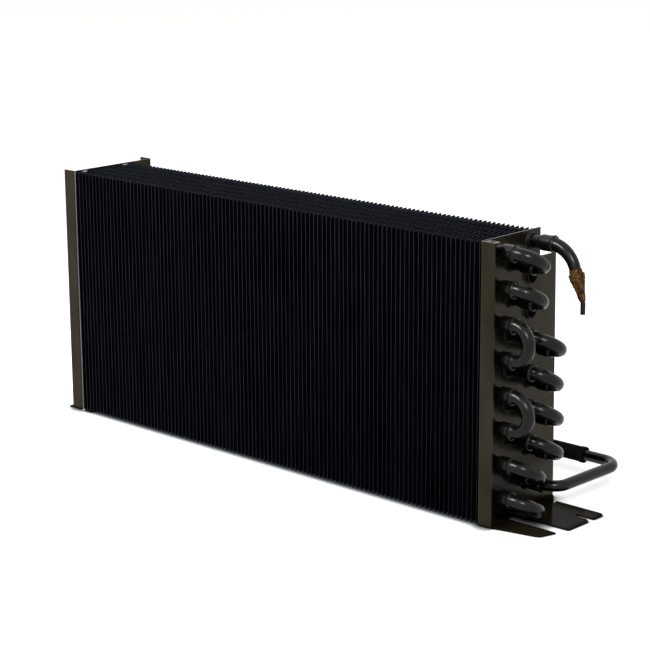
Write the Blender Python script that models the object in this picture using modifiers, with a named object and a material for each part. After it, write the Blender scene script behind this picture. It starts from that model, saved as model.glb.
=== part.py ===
"""Evaporator coil: plate fins on hairpin tubes between two folded steel end plates.

X runs along the tubes, with the return bends at +X. The air enters at -Y and leaves at +Y, and
Z is up. All lengths are in metres. The pieces are modelled with X = 0 at the middle of the fin
pack, Y = 0 at the front of the end plates and Z = 0 at the underside of the feet; the empty
that carries them then puts the middle of the whole coil's underside at the world's origin.
"""
import math

import bmesh
import bpy
from mathutils import Matrix, Vector

# Main sizes: length of the fin pack, and height and depth of the end plates
PACK_LENGTH = 0.4318
PLATE_HEIGHT = 0.2063
PLATE_DEPTH = 0.0856

# Tube block: rows in three columns, and how many quarters of a row each column's first tube
# lies below the fins' top, which puts the middle column half a row lower
ROWS = 8
COLUMN_PITCH = 0.0220
FIRST_QUARTERS = {"a": 1, "b": 3, "c": 1}

# Tubes, with a belled end that takes the next bend
TUBE_RADIUS = 0.00476
TUBE_WALL = 0.0007
BELL_LENGTH = 0.0095
BELL_CONE = 0.0025
BELL_LIP = 0.0208
SOCKET_DEPTH = 0.0080
HAIRPIN_LEAD = 0.0010
RETURN_LEAD = 0.0008

# Fins
FIN_COUNT = 102
FIN_THICKNESS = 0.00025
FIN_BOTTOM = 0.0017
FIN_INSET = 0.0003
FIN_COLLAR_WALL = 0.0005

# End plates of folded sheet
SHEET = 0.0012
PLATE_OVER_FINS = 0.0014
RIGHT_PLATE_FOOT_DEPTH = 0.0883
FLANGE_WIDTH = 0.0117
FOLD_RADIUS = 0.0014
NOTCH_DEPTH = 0.0190
NOTCH_HEIGHT = 0.0211
COLLAR_WALL = 0.0007
COLLAR_HEIGHT = 0.0026

# Small tab with a hole at the top of the right flange
TAB_START = 0.0010
TAB_DEPTH = 0.0075
TAB_DROP = 0.0002
TAB_CORNER = 0.0030
TAB_HOLE_OUT = 0.0060
TAB_HOLE_BACK = 0.0044
TAB_HOLE_RADIUS = 0.0017

# Right foot: two tongues with a gap between them, the back one slotted for a screw
FOOT_SLIT = 0.0003
RIGHT_FOOT_REACH = 0.0536
RIGHT_FOOT_BACK = 0.0785
FOOT_HEEL_OUT = 0.0105
FOOT_HEEL_BACK = 0.0710
FRONT_TONGUE_REACH = 0.0506
FRONT_TONGUE_SHOULDER = 0.0077
FRONT_TONGUE_TAPER = 0.0085
FRONT_TONGUE_FRONT = 0.0018
FRONT_TONGUE_BACK = 0.0240
TONGUE_CORNER = 0.0040
GAP_WIDTH = 0.0110
GAP_ROOT_FRONT = 0.0073
GAP_ROOT_BACK = 0.0045
SLOT_BACK = 0.0635
SLOT_WIDTH = 0.0040
SLOT_LENGTH = 0.0146
SLOT_FLARE_LENGTH = 0.0040
SLOT_FLARE_WIDTH = 0.0030
PILOT_OUT = 0.0400
PILOT_BACK = 0.0200
PILOT_RADIUS = 0.0014

# Left foot: one plain plate that reaches out past the hairpin bends and in under the fins
LEFT_FOOT_OUT = 0.0162
LEFT_FOOT_IN = 0.0118
LEFT_FOOT_BACK = 0.0800

# Top pipe: elbow, brazed reducer and capillary stub
PIPE_RADIUS = 0.00415
PIPE_NECK = 0.0012
ELBOW_START = -0.0025
ELBOW_RADIUS = 0.0215
ELBOW_TURN = math.radians(72)
ELBOW_TAIL = 0.0083
REDUCER_OVERLAP = 0.0050
REDUCER_LENGTH = 0.0172
REDUCER_CONE = 0.0040
REDUCER_WALL = 0.0005
CAPILLARY_RADIUS = 0.0016
CAPILLARY_WALL = 0.0005
CAPILLARY_BEND = 0.0080
CAPILLARY_DROP = 0.0083

# Bottom pipe: out of the last bell, round the back of the right plate and away behind the coil
LOOP_START = 0.0012
LOOP_BEND = 0.0056
LOOP_SPLAY = 0.0012
LOOP_BACK = 0.1320
LOOP_CORNER = 0.0140
LOOP_TAIL = 0.1040
SLEEVE_OFFSET = 0.0315
SLEEVE_LENGTH = 0.0560
SLEEVE_WALL = 0.0014

# Gap between pieces that touch
CLEARANCE = 0.0003

# Facets: sides of a round section, steps in a quarter turn, and the edges that stay sharp
SIDES = 8
QUARTER_STEPS = 2
FOLD_STEPS = 3
SHARP_ANGLE = math.radians(50)

# Points closer than this are one, and a cutter reaches this far past what it cuts
WELD = 0.00001
CUT_PAST = 0.0020

# Which tubes each bend joins, from the elbow at c1 to the outlet at c8; c2 and c3 hold no tube
HAIRPINS = ("c1 b1", "a1 a2", "b2 a3", "a4 b3", "c4 c5", "b4 a5", "a6 b5", "c6 c7", "b6 a7",
            "b7 a8", "b8 c8")
RETURN_BENDS = ("a1 b1", "a2 b2", "a3 a4", "b3 c4", "b4 c5", "a5 a6", "b5 c6", "b6 c7", "a7 b7",
                "a8 b8")
INLET = "c1"
OUTLET = "c8"
COLLARED_TUBE = "a8"
FRONT_TOP_TUBE = "a1"
BACK_LOW_TUBE = "b8"
BACK_TOP_TUBE = "c1"

# Colour, roughness and metallic value of each finish
BLACK_FIN = ((0.010, 0.011, 0.013), 0.45, 0.0)
BLACK_TUBE = ((0.006, 0.006, 0.007), 0.22, 0.0)
BROWN_STEEL = ((0.030, 0.025, 0.019), 0.35, 0.0)
BROWN_BRAZE = ((0.080, 0.048, 0.022), 0.55, 0.3)
BLACK_RUBBER = ((0.010, 0.010, 0.010), 0.70, 0.0)

# Places and sizes that follow from the ones above. FLAT is the share of an eight-sided rod's
# radius at which its flats lie, and CROSSWISE turns an outline of (back, up) to face along X.
COLUMNS = list(FIRST_QUARTERS)
FLAT = math.cos(math.pi / SIDES)
HOLE_RADIUS = TUBE_RADIUS + CLEARANCE / FLAT
BELL_RADIUS = HOLE_RADIUS + TUBE_WALL / FLAT
FIN_PITCH = PACK_LENGTH / FIN_COUNT
FIN_DEPTH = len(COLUMNS) * COLUMN_PITCH
FIN_TOP = PLATE_HEIGHT - PLATE_OVER_FINS
ROW_PITCH = (FIN_TOP - FIN_BOTTOM) / ROWS
RIGHT = PACK_LENGTH / 2
LEFT = -RIGHT
FOOT_TOP = SHEET + FOOT_SLIT
CROSSWISE = Matrix(((0, 0, 1, 0), (1, 0, 0, 0), (0, 1, 0, 0), (0, 0, 0, 1)))


def tube_place(name, x=0.0):
    """Centre of a tube, named by its column letter and its row counted from the top."""
    column, row = name[0], int(name[1:])
    back = FIN_INSET + COLUMN_PITCH * (COLUMNS.index(column) + 0.5)
    down = ROW_PITCH * (FIRST_QUARTERS[column] / 4 + row - 1)
    return Vector((x, back, FIN_TOP - down))


def all_tube_places():
    """Centres of every tube place, those without a tube too."""
    return [tube_place(column + str(row + 1)) for column in COLUMNS for row in range(ROWS)]


def round_corners(corners, steps):
    """Points of a path whose corners, given as (point, radius), are turned into arcs.

    The path may be closed, and the ends of an open one have no radius.
    """
    made = []
    count = len(corners)
    for i, (corner, radius) in enumerate(corners):
        corner = Vector(corner)
        if not radius:
            made.append(corner)
            continue
        before = (Vector(corners[i - 1][0]) - corner).normalized()
        after = (Vector(corners[(i + 1) % count][0]) - corner).normalized()
        half = before.angle(after) / 2
        centre = corner + (before + after).normalized() * radius / math.sin(half)
        start = corner + before * radius / math.tan(half) - centre
        end = corner + after * radius / math.tan(half) - centre
        turn = start.angle(end)
        for step in range(steps + 1):
            share = turn * step / steps
            point = centre + (start * math.sin(turn - share) + end * math.sin(share)) / math.sin(turn)
            if not made or (made[-1] - point).length > CLEARANCE / 10:
                made.append(point)
    return made


def add_finish(thing, finish):
    """Give an object a Principled material of its own."""
    colour, roughness, metallic = finish
    made = bpy.data.materials.new(thing.name + "_finish")
    made.use_nodes = True
    made.diffuse_color = (*colour, 1.0)
    shader = made.node_tree.nodes["Principled BSDF"]
    shader.inputs["Base Color"].default_value = (*colour, 1.0)
    shader.inputs["Roughness"].default_value = roughness
    shader.inputs["Metallic"].default_value = metallic
    thing.data.materials.append(made)


def poly_curve(name, path, closed, dimensions):
    """Curve object with one straight-sided spline."""
    data = bpy.data.curves.new(name, "CURVE")
    data.dimensions = dimensions
    add_spline(data, path, closed)
    return bpy.data.objects.new(name, data)


def add_spline(data, path, closed):
    """Add a straight-sided spline to a curve."""
    spline = data.splines.new("POLY")
    spline.points.add(len(path) - 1)
    spline.use_cyclic_u = closed
    for point, place in zip(spline.points, path):
        point.co = (*Vector(place).to_3d(), 1.0)


def as_mesh(curve, collection, base, place=None):
    """Make a curve object a mesh object with its caps welded, drawn in its base's own frame."""
    bpy.context.scene.collection.objects.link(curve)
    bpy.context.view_layer.update()
    evaluated = curve.evaluated_get(bpy.context.evaluated_depsgraph_get())
    mesh = bpy.data.meshes.new_from_object(evaluated)
    bm = bmesh.new()
    bm.from_mesh(mesh)
    bmesh.ops.remove_doubles(bm, verts=bm.verts, dist=WELD)
    bm.to_mesh(mesh)
    bm.free()
    if place:
        mesh.transform(place)
    name = curve.name
    bpy.data.objects.remove(curve)
    made = bpy.data.objects.new(name, mesh)
    made.location = base
    collection.objects.link(made)
    return made


def flat_sheet(name, outlines, thickness, collection, base, place):
    """Flat plate cut to an outline, with any further outlines as holes."""
    curve = poly_curve(name, outlines[0], True, "2D")
    for hole in outlines[1:]:
        add_spline(curve.data, hole, True)
    curve.data.fill_mode = "BOTH"
    curve.data.extrude = thickness / 2
    return as_mesh(curve, collection, base, place)


def folded_sheet(name, corners, height, collection, base):
    """Upright sheet folded along a path of (point, radius) corners at its mid thickness."""
    curve = poly_curve(name, round_corners(corners, FOLD_STEPS), False, "3D")
    curve.data.extrude = height / 2
    made = as_mesh(curve, collection, base, Matrix.Translation((0, 0, height / 2)))
    shell = made.modifiers.new("sheet", "SOLIDIFY")
    shell.thickness = SHEET
    shell.offset = 0.0
    shell.use_even_offset = True
    return made


def pipe(name, path, radii, wall, finish, collection, tilts=None):
    """Hollow pipe, open at both ends, along a path with a radius at each point."""
    curve = poly_curve(name, path, False, "3D")
    curve.data.twist_mode = "MINIMUM"
    curve.data.bevel_depth = 1.0
    curve.data.bevel_resolution = (SIDES - 4) // 2
    for i, point in enumerate(curve.data.splines[0].points):
        point.radius = radii[i]
        point.tilt = math.pi / SIDES + (tilts[i] if tilts else 0.0)
    made = as_mesh(curve, collection, (0, 0, 0))
    shell = made.modifiers.new("wall", "SOLIDIFY")
    shell.thickness = wall
    shell.offset = -1.0
    shell.use_even_offset = True
    made.data.shade_smooth()
    made.data.set_sharp_from_angle(angle=SHARP_ANGLE)
    add_finish(made, finish)
    return made


def box(name, low, high, collection, base):
    """Box between two corners, given from its base."""
    low, high = Vector(low), Vector(high)
    bm = bmesh.new()
    size = Matrix.Diagonal((*(high - low), 1.0))
    bmesh.ops.create_cube(bm, size=1.0, matrix=Matrix.Translation((low + high) / 2) @ size)
    return from_bmesh(name, bm, collection, base)


def rods(name, places, radius, low, high, collection, base):
    """Round rods along X through the given places, all between two values of X from the base."""
    bm = bmesh.new()
    across = CROSSWISE @ Matrix.Rotation(math.pi / SIDES, 4, "Z")
    for place in places:
        middle = Vector(((low + high) / 2, place.y, place.z))
        bmesh.ops.create_cone(bm, cap_ends=True, segments=SIDES, radius1=radius, radius2=radius,
                              depth=high - low, matrix=Matrix.Translation(middle) @ across)
    return from_bmesh(name, bm, collection, base)


def from_bmesh(name, bm, collection, base):
    """Mesh object from a bmesh, which is freed."""
    mesh = bpy.data.meshes.new(name)
    bm.to_mesh(mesh)
    bm.free()
    made = bpy.data.objects.new(name, mesh)
    made.location = base
    collection.objects.link(made)
    return made


def combine(target, operation, other):
    """Join or cut one object by another, which stays in the scene as a hidden guide."""
    step = target.modifiers.new(other.name, "BOOLEAN")
    step.operation = operation
    step.solver = "EXACT"
    step.object = other
    other.hide_render = True
    other.display_type = "WIRE"


def window(low_tube, high_tube, gap):
    """Rectangle, back and up, that clears the tubes from one corner place to another."""
    low, high = tube_place(low_tube), tube_place(high_tube)
    clear = TUBE_RADIUS * FLAT + gap
    front, back = min(low.y, high.y) - clear, max(low.y, high.y) + clear
    return (front, low.z - clear), (back, low.z - clear), (back, high.z + clear), (front, high.z + clear)


def build_fin_pack(parts, cutters):
    """All fins, joined by the sleeve that their collars make round the lowest front tube.

    The other tubes pass through two openings in each fin: one in line with the sleeve, for the
    rest of the front column, and one for the middle and back columns.
    """
    outline = ((FIN_INSET, FIN_BOTTOM), (FIN_INSET + FIN_DEPTH, FIN_BOTTOM),
               (FIN_INSET + FIN_DEPTH, FIN_TOP), (FIN_INSET, FIN_TOP))
    sleeve_gap = CLEARANCE + FIN_COLLAR_WALL
    front_window = window(COLLARED_TUBE, FRONT_TOP_TUBE, sleeve_gap)
    back_window = window(BACK_LOW_TUBE, BACK_TOP_TUBE, CLEARANCE)
    first_fin = LEFT + FIN_PITCH / 2
    fins = flat_sheet("fin_pack", (outline, front_window, back_window), FIN_THICKNESS, parts, (0, 0, 0),
                      Matrix.Translation((first_fin, 0, 0)) @ CROSSWISE)
    row = fins.modifiers.new("fins", "ARRAY")
    row.count = FIN_COUNT
    row.use_relative_offset = False
    row.use_constant_offset = True
    row.constant_offset_displace = (FIN_PITCH, 0, 0)
    length = (FIN_COUNT - 1) * FIN_PITCH
    collars = flat_sheet("fin_collars", (window(COLLARED_TUBE, COLLARED_TUBE, sleeve_gap),), length,
                         cutters, (0, 0, 0), CROSSWISE)
    bore = flat_sheet("fin_collar_bore", (window(COLLARED_TUBE, COLLARED_TUBE, CLEARANCE),),
                      length + 2 * CUT_PAST, cutters, (0, 0, 0), CROSSWISE)
    combine(fins, "UNION", collars)
    combine(fins, "DIFFERENCE", bore)
    add_finish(fins, BLACK_FIN)


def cut_tube_holes(plate, cutters, base):
    """Cut a hole for every tube place through an end plate's web and its collars."""
    depth = max(SHEET, COLLAR_HEIGHT) + CUT_PAST
    holes = rods(plate.name + "_holes", all_tube_places(), HOLE_RADIUS, -depth, depth, cutters, base)
    combine(plate, "DIFFERENCE", holes)


def build_right_plate(parts, cutters):
    """Right end plate: front flange with a tab, collared holes, notched top, two-tongued foot."""
    base = (RIGHT, 0, 0)
    middle = SHEET / 2
    fold = (((FLANGE_WIDTH, middle, 0), 0), ((-middle, middle, 0), FOLD_RADIUS),
            ((-middle, RIGHT_PLATE_FOOT_DEPTH + middle, 0), 0))
    plate = folded_sheet("end_plate_right", fold, PLATE_HEIGHT, parts, base)
    notch_front = PLATE_DEPTH - NOTCH_DEPTH
    notch_bottom = PLATE_HEIGHT - NOTCH_HEIGHT
    above = PLATE_HEIGHT + CUT_PAST
    behind = RIGHT_PLATE_FOOT_DEPTH + CUT_PAST
    trim = ((notch_front, above), (notch_front, notch_bottom), (PLATE_DEPTH, notch_bottom),
            (RIGHT_PLATE_FOOT_DEPTH, 0), (RIGHT_PLATE_FOOT_DEPTH, -CUT_PAST), (behind, -CUT_PAST),
            (behind, above))
    back_trim = flat_sheet("back_trim", (trim,), 2 * (SHEET + CUT_PAST), cutters, base, CROSSWISE)
    front_slit = box("front_slit_right", (-SHEET - CUT_PAST, -CUT_PAST, -CUT_PAST),
                     (FLANGE_WIDTH + CUT_PAST, FOLD_RADIUS + middle, FOOT_TOP), cutters, base)
    heel_slit = box("heel_slit_right", (-SHEET - CUT_PAST, FOOT_HEEL_BACK, -CUT_PAST),
                    (CUT_PAST, behind, FOOT_TOP), cutters, base)
    for cutter in (back_trim, front_slit, heel_slit):
        combine(plate, "DIFFERENCE", cutter)
    foot = flat_sheet("foot_right", right_foot_outlines(), SHEET, cutters, base,
                      Matrix.Translation((0, 0, middle)))
    combine(plate, "UNION", foot)
    tab = flat_sheet("flange_tab", tab_outlines(), SHEET, cutters, base,
                     Matrix.Translation((0, 0, PLATE_HEIGHT - TAB_DROP - middle)))
    combine(plate, "UNION", tab)
    collars = rods("hole_collars", all_tube_places(), HOLE_RADIUS + COLLAR_WALL / FLAT, -middle,
                   COLLAR_HEIGHT, cutters, base)
    combine(plate, "UNION", collars)
    cut_tube_holes(plate, cutters, base)
    add_finish(plate, BROWN_STEEL)


def right_foot_outlines():
    """Outline of the right foot from above, and its pilot hole: out from the plate, and back."""
    root = -SHEET / 2
    slot_end = RIGHT_FOOT_REACH - SLOT_LENGTH
    slot_front = SLOT_BACK - SLOT_WIDTH / 2
    slot_rear = SLOT_BACK + SLOT_WIDTH / 2
    gap_back = FRONT_TONGUE_BACK + GAP_WIDTH
    corners = (
        ((root, FOLD_RADIUS + SHEET), 0),
        ((FRONT_TONGUE_FRONT, FRONT_TONGUE_FRONT), 0),
        ((FRONT_TONGUE_SHOULDER, FRONT_TONGUE_FRONT), 0),
        ((FRONT_TONGUE_REACH - TONGUE_CORNER, FRONT_TONGUE_FRONT + FRONT_TONGUE_TAPER), TONGUE_CORNER),
        ((FRONT_TONGUE_REACH, FRONT_TONGUE_BACK), 0),
        ((GAP_ROOT_FRONT, FRONT_TONGUE_BACK), 0),
        ((GAP_ROOT_BACK, gap_back), 0),
        ((RIGHT_FOOT_REACH, gap_back), 0),
        ((RIGHT_FOOT_REACH, slot_front - SLOT_FLARE_WIDTH), 0),
        ((RIGHT_FOOT_REACH - SLOT_FLARE_LENGTH, slot_front), 0),
        ((slot_end, slot_front), SLOT_WIDTH / 2),
        ((slot_end, slot_rear), SLOT_WIDTH / 2),
        ((RIGHT_FOOT_REACH, slot_rear), 0),
        ((RIGHT_FOOT_REACH, RIGHT_FOOT_BACK), TONGUE_CORNER),
        ((FOOT_HEEL_OUT, RIGHT_FOOT_BACK), 0),
        ((FOOT_HEEL_OUT, FOOT_HEEL_BACK), 0),
        ((root, FOOT_HEEL_BACK - SHEET / 2), 0))
    outline = round_corners(corners, QUARTER_STEPS)
    return outline, circle(PILOT_OUT, PILOT_BACK, PILOT_RADIUS)


def tab_outlines():
    """Outline of the flange's tab from above, and its hole."""
    corners = (((TAB_START, SHEET / 2), 0), ((FLANGE_WIDTH, SHEET / 2), 0),
               ((FLANGE_WIDTH, TAB_DEPTH), TAB_CORNER), ((TAB_START, TAB_DEPTH), 0))
    outline = round_corners(corners, QUARTER_STEPS)
    return outline, circle(TAB_HOLE_OUT, TAB_HOLE_BACK, TAB_HOLE_RADIUS)


def circle(x, y, radius):
    """Points of a small circle."""
    angles = [2 * math.pi * (step + 0.5) / SIDES for step in range(SIDES)]
    return [(x + radius * math.cos(angle), y + radius * math.sin(angle)) for angle in angles]


def build_left_plate(parts, cutters):
    """Left end plate: a channel with both flanges outward, on a plain foot."""
    base = (LEFT, 0, 0)
    middle = SHEET / 2
    rear = PLATE_DEPTH - middle
    fold = (((-FLANGE_WIDTH, middle, 0), 0), ((middle, middle, 0), FOLD_RADIUS),
            ((middle, rear, 0), FOLD_RADIUS), ((-FLANGE_WIDTH, rear, 0), 0))
    plate = folded_sheet("end_plate_left", fold, PLATE_HEIGHT, parts, base)
    for name, front, back in (("front_slit_left", -CUT_PAST, FOLD_RADIUS + middle),
                              ("back_slit_left", rear - FOLD_RADIUS, PLATE_DEPTH + CUT_PAST)):
        slit = box(name, (-FLANGE_WIDTH - CUT_PAST, front, -CUT_PAST),
                   (SHEET + CUT_PAST, back, FOOT_TOP), cutters, base)
        combine(plate, "DIFFERENCE", slit)
    outline = ((-LEFT_FOOT_OUT, 0), (LEFT_FOOT_IN, 0), (LEFT_FOOT_IN, LEFT_FOOT_BACK),
               (-LEFT_FOOT_OUT, LEFT_FOOT_BACK))
    foot = flat_sheet("foot_left", (outline,), SHEET, cutters, base, Matrix.Translation((0, 0, middle)))
    combine(plate, "UNION", foot)
    cut_tube_holes(plate, cutters, base)
    add_finish(plate, BROWN_STEEL)


def half_turn(pair, x, out):
    """Arc points that join two tube places at x, bulging towards out times X, and their tilts.

    The tilt turns the flats so that they face the same way on both legs.
    """
    start, end = (tube_place(name, x) for name in pair.split())
    radius = (end - start).length / 2
    reach = Vector((out * radius, 0, 0))
    path = round_corners(((start - reach, 0), (start + reach, radius), (end + reach, radius),
                          (end - reach, 0)), QUARTER_STEPS)[1:-1]
    normal = reach.cross(end - start)
    side = 2 * math.pi / SIDES
    twist = 2 * math.atan2(normal.z, normal.y) * out % side
    if twist > side / 2:
        twist -= side
    return path, [twist * step / (len(path) - 1) for step in range(len(path))]


def build_hairpin(pair, parts):
    """Long U of tube, bent at the left, with a bell at both right ends."""
    path, tilts = half_turn(pair, LEFT - HAIRPIN_LEAD, -1)
    lip = RIGHT + BELL_LIP
    neck = lip - BELL_LENGTH
    bell = ((lip, BELL_RADIUS), (neck, BELL_RADIUS), (neck - BELL_CONE, TUBE_RADIUS))
    into = [Vector((x, path[0].y, path[0].z)) for x, radius in bell]
    away = [Vector((x, path[-1].y, path[-1].z)) for x, radius in reversed(bell)]
    widths = [radius for x, radius in bell]
    radii = widths + [TUBE_RADIUS] * len(path) + widths[::-1]
    tilts = [tilts[0]] * len(bell) + tilts + [tilts[-1]] * len(bell)
    pipe("hairpin_" + pair.replace(" ", "_"), into + path + away, radii, TUBE_WALL, BLACK_TUBE,
         parts, tilts)


def build_return_bend(pair, parts):
    """Short U of tube that joins two bells."""
    path, tilts = half_turn(pair, RIGHT + BELL_LIP + RETURN_LEAD, 1)
    seat = RIGHT + BELL_LIP - SOCKET_DEPTH
    path = [Vector((seat, path[0].y, path[0].z))] + path + [Vector((seat, path[-1].y, path[-1].z))]
    tilts = [tilts[0]] + tilts + [tilts[-1]]
    pipe("return_bend_" + pair.replace(" ", "_"), path, [TUBE_RADIUS] * len(path), TUBE_WALL, BLACK_TUBE,
         parts, tilts)


def socket_pipe(name, lip, bend, parts):
    """Pipe that follows a bend, with its start swaged to a tube's width to seat in a bell."""
    seat = lip - Vector((SOCKET_DEPTH, 0, 0))
    swage_end = bend[0] - Vector((PIPE_NECK, 0, 0))
    path = [seat, swage_end] + bend
    radii = [TUBE_RADIUS] * 2 + [PIPE_RADIUS] * len(bend)
    pipe(name, path, radii, TUBE_WALL, BLACK_TUBE, parts)


def build_top_pipe(parts):
    """Elbow out of the first bell, the brazed reducer on it and the capillary stub below."""
    down = Vector((math.cos(ELBOW_TURN), 0, -math.sin(ELBOW_TURN)))
    lip = tube_place(INLET, RIGHT + BELL_LIP)
    setback = ELBOW_RADIUS * math.tan(ELBOW_TURN / 2)
    corner = lip + Vector((ELBOW_START + setback, 0, 0))
    elbow_end = corner + down * (setback + ELBOW_TAIL)
    bend = round_corners(((lip, 0), (corner, ELBOW_RADIUS), (elbow_end, 0)), 2 * QUARTER_STEPS)[1:]
    socket_pipe("inlet_elbow", lip, bend, parts)

    start = elbow_end - down * REDUCER_OVERLAP
    socket_end = REDUCER_OVERLAP + CLEARANCE
    wide = (PIPE_RADIUS + CLEARANCE + REDUCER_WALL) / FLAT
    narrow = (CAPILLARY_RADIUS + CLEARANCE + REDUCER_WALL) / FLAT
    shape = ((0, wide), (socket_end, wide), (socket_end + REDUCER_CONE, (wide + narrow) / 2),
             (REDUCER_LENGTH, narrow))
    pipe("inlet_reducer", [start + down * along for along, radius in shape],
         [radius for along, radius in shape], REDUCER_WALL, BROWN_BRAZE, parts)

    capillary_start = start + down * (socket_end + REDUCER_CONE)
    bend = start + down * (REDUCER_LENGTH + CAPILLARY_BEND / 2)
    path = round_corners(((capillary_start, 0), (bend, CAPILLARY_BEND),
                          (bend - Vector((0, 0, CAPILLARY_DROP)), 0)), QUARTER_STEPS)
    pipe("capillary_stub", path, [CAPILLARY_RADIUS] * len(path), CAPILLARY_WALL, BLACK_TUBE, parts)


def build_bottom_pipe(parts):
    """Pipe from the last bell round behind the right plate, and the rubber sleeve on its tail."""
    lip = tube_place(OUTLET, RIGHT + BELL_LIP)
    corner_out = lip + Vector((LOOP_START + LOOP_BEND, 0, 0))
    corner_back = Vector((corner_out.x + LOOP_SPLAY, LOOP_BACK, lip.z))
    tail = corner_back - Vector((LOOP_TAIL, 0, 0))
    bend = round_corners(((lip, 0), (corner_out, LOOP_BEND), (corner_back, LOOP_CORNER), (tail, 0)),
                         2 * QUARTER_STEPS)[1:]
    socket_pipe("outlet_pipe", lip, bend, parts)

    sleeve_start = corner_back - Vector((SLEEVE_OFFSET, 0, 0))
    sleeve_end = sleeve_start - Vector((SLEEVE_LENGTH, 0, 0))
    radius = PIPE_RADIUS + (CLEARANCE + SLEEVE_WALL) / FLAT
    pipe("rubber_sleeve", [sleeve_start, sleeve_end], [radius] * 2, SLEEVE_WALL, BLACK_RUBBER, parts)


def stand_on_origin(collections):
    """Hang every object on an empty that puts the middle of the coil's underside at the origin."""
    bpy.context.view_layer.update()
    depsgraph = bpy.context.evaluated_depsgraph_get()
    corners = [thing.matrix_world @ Vector(corner) for thing in collections[0].objects
               for corner in thing.evaluated_get(depsgraph).bound_box]
    low = [min(corner[i] for corner in corners) for i in range(3)]
    high = [max(corner[i] for corner in corners) for i in range(3)]
    carrier = bpy.data.objects.new("coil_origin", None)
    for collection in collections:
        for thing in collection.objects:
            thing.parent = carrier
    carrier.location = (-(low[0] + high[0]) / 2, -(low[1] + high[1]) / 2, -low[2])
    collections[0].objects.link(carrier)


def build_coil():
    """Empty the scene, then build every piece of the coil."""
    for thing in list(bpy.data.objects):
        bpy.data.objects.remove(thing)
    parts = bpy.data.collections.new("evaporator_coil")
    cutters = bpy.data.collections.new("coil_cutters")
    for collection in (parts, cutters):
        bpy.context.scene.collection.children.link(collection)
    build_fin_pack(parts, cutters)
    build_left_plate(parts, cutters)
    build_right_plate(parts, cutters)
    for pair in HAIRPINS:
        build_hairpin(pair, parts)
    for pair in RETURN_BENDS:
        build_return_bend(pair, parts)
    build_top_pipe(parts)
    build_bottom_pipe(parts)
    stand_on_origin((parts, cutters))


build_coil()
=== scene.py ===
"""Looks of the evaporator coil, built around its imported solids.

The pieces are made in the coil's own frame, as in the part's source: X = 0 at the middle of the
fin pack, Y = 0 at the front of the end plates and Z = 0 at the underside of the feet.
All lengths are in metres.
"""

import math
import random

import bmesh
import bpy
import numpy as np
from mathutils import Matrix, Vector, noise as noise_field


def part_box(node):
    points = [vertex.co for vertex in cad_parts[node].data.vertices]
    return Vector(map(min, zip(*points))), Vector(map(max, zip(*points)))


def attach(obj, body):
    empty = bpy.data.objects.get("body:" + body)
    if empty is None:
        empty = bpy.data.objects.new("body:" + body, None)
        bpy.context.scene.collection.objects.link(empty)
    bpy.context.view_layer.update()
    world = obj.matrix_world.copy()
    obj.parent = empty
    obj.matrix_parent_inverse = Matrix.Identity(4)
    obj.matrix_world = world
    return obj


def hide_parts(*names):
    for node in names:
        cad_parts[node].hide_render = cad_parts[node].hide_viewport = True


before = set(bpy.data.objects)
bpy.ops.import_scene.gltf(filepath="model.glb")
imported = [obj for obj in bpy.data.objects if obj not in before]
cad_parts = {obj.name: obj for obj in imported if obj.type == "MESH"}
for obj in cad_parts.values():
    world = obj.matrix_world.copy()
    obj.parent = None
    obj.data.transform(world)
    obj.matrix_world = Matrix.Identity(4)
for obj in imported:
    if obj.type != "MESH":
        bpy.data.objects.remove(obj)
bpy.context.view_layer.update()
BODY = "root"

# Sizes taken over from the part's source
ROWS = 8
FIN_COUNT = 102
FIN_THICKNESS = 0.00025
FIN_INSET = 0.0003
FIRST_QUARTERS = {"a": 1, "b": 3, "c": 1}
TUBE_RADIUS = 0.00476
TUBE_WALL = 0.0007
BELL_RADIUS = 0.00584
BELL_LENGTH = 0.0095
BELL_CONE = 0.0025
BELL_LIP = 0.0208
SOCKET_DEPTH = 0.0080
HAIRPIN_LEAD = 0.0010
RETURN_LEAD = 0.0008
SHEET = 0.0012
PLATE_DEPTH = 0.0856
RIGHT_PLATE_FOOT_DEPTH = 0.0883
FLANGE_WIDTH = 0.0117
FOLD_RADIUS = 0.0014
NOTCH_DEPTH = 0.0190
NOTCH_HEIGHT = 0.0211
COLLAR_WALL = 0.0007
COLLAR_HEIGHT = 0.0026
TAB_START = 0.0010
TAB_DEPTH = 0.0075
TAB_DROP = 0.0002
TAB_CORNER = 0.0030
TAB_HOLE_OUT = 0.0060
TAB_HOLE_BACK = 0.0044
TAB_HOLE_RADIUS = 0.0017
FOOT_SLIT = 0.0003
RIGHT_FOOT_REACH = 0.0536
RIGHT_FOOT_BACK = 0.0785
FOOT_HEEL_OUT = 0.0105
FOOT_HEEL_BACK = 0.0710
FRONT_TONGUE_REACH = 0.0506
FRONT_TONGUE_SHOULDER = 0.0077
FRONT_TONGUE_TAPER = 0.0085
FRONT_TONGUE_FRONT = 0.0018
FRONT_TONGUE_BACK = 0.0240
TONGUE_CORNER = 0.0040
GAP_WIDTH = 0.0110
GAP_ROOT_FRONT = 0.0073
GAP_ROOT_BACK = 0.0045
SLOT_BACK = 0.0635
SLOT_WIDTH = 0.0040
SLOT_LENGTH = 0.0146
SLOT_FLARE_LENGTH = 0.0040
SLOT_FLARE_WIDTH = 0.0030
PILOT_OUT = 0.0400
PILOT_BACK = 0.0200
PILOT_RADIUS = 0.0014
LEFT_FOOT_OUT = 0.0162
LEFT_FOOT_IN = 0.0118
LEFT_FOOT_BACK = 0.0800
PIPE_RADIUS = 0.00415
ELBOW_START = -0.0025
ELBOW_RADIUS = 0.0215
ELBOW_TURN = math.radians(72)
ELBOW_TAIL = 0.0083
REDUCER_OVERLAP = 0.0050
REDUCER_LENGTH = 0.0172
CAPILLARY_WALL = 0.0005
CAPILLARY_BEND = 0.0080
CAPILLARY_DROP = 0.0083
LOOP_START = 0.0012
LOOP_BEND = 0.0056
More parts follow.
